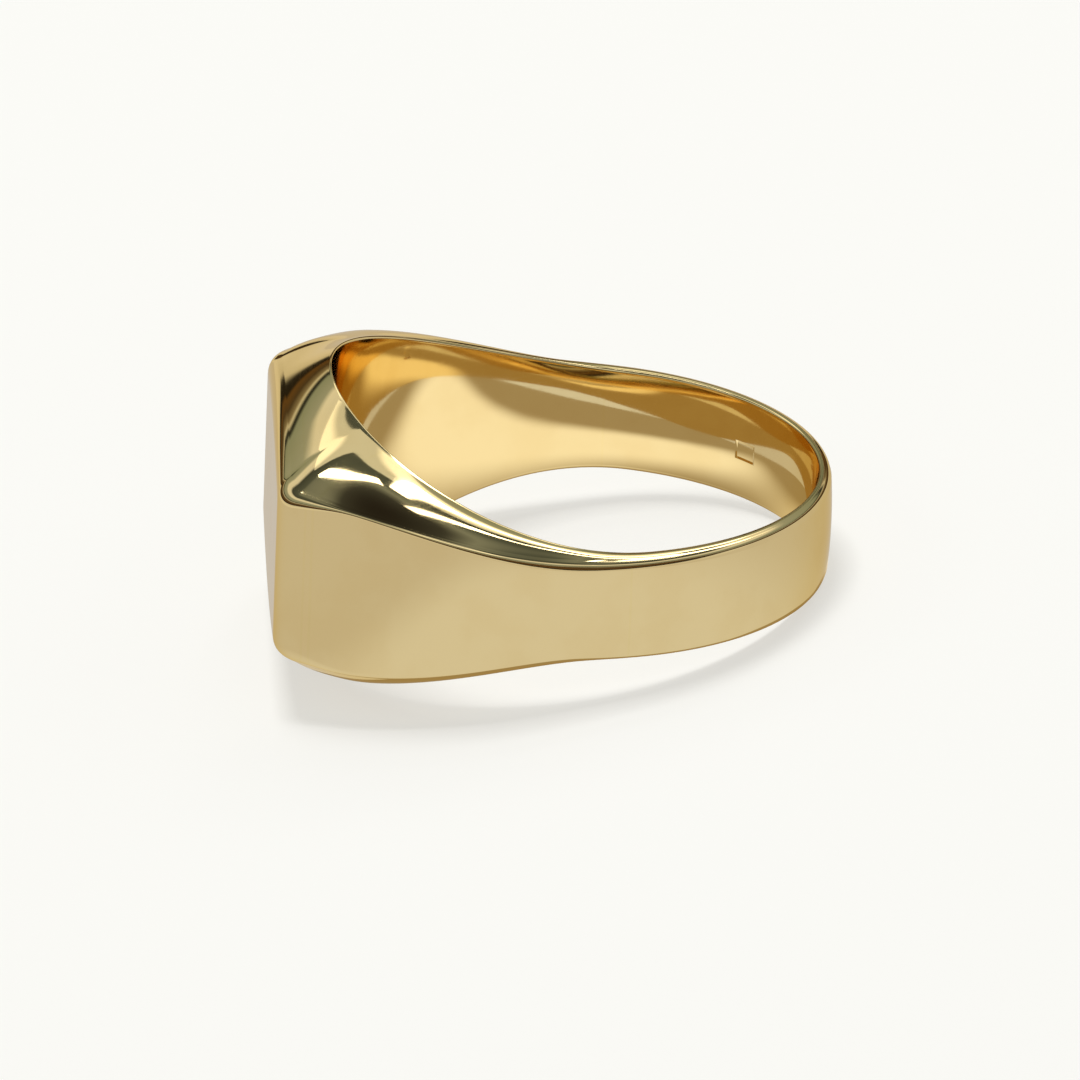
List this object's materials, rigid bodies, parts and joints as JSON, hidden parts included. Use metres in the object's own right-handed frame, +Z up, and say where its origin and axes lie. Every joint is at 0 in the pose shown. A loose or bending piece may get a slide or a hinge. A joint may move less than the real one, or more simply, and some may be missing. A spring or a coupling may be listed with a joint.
{
  "type": "signet ring",
  "caption": "Polished gold signet ring with a flat rectangular face, sloping cheeks, tapering shoulders and a narrow shank, lying on its side.",
  "frame": {"origin": "on the surface the ring lies on, under the middle of its overall length and width", "axes": "+Z up from that surface, -X towards the signet face, +Y towards the ring's left shoulder. The bore axis leans 10.8 degrees from +Z towards +X, because the ring rests on the lower edge of its head and on the lower rim at the back of its shank"},
  "size_m": [0.0224, 0.0214, 0.0113],
  "materials": {
    "polished_gold": "mirror-polished yellow gold",
    "gold_solder": "polished gold solder"
  },
  "bodies": {
    "root": {"signet_plate": "polished_gold", "head_block": "polished_gold", "shoulder_left": "polished_gold", "shoulder_right": "polished_gold", "shank": "polished_gold", "plate_solder": "gold_solder", "head_solder_left": "gold_solder", "head_solder_right": "gold_solder", "shank_solder_left": "gold_solder", "shank_solder_right": "gold_solder"}
  },
  "joints": []
}
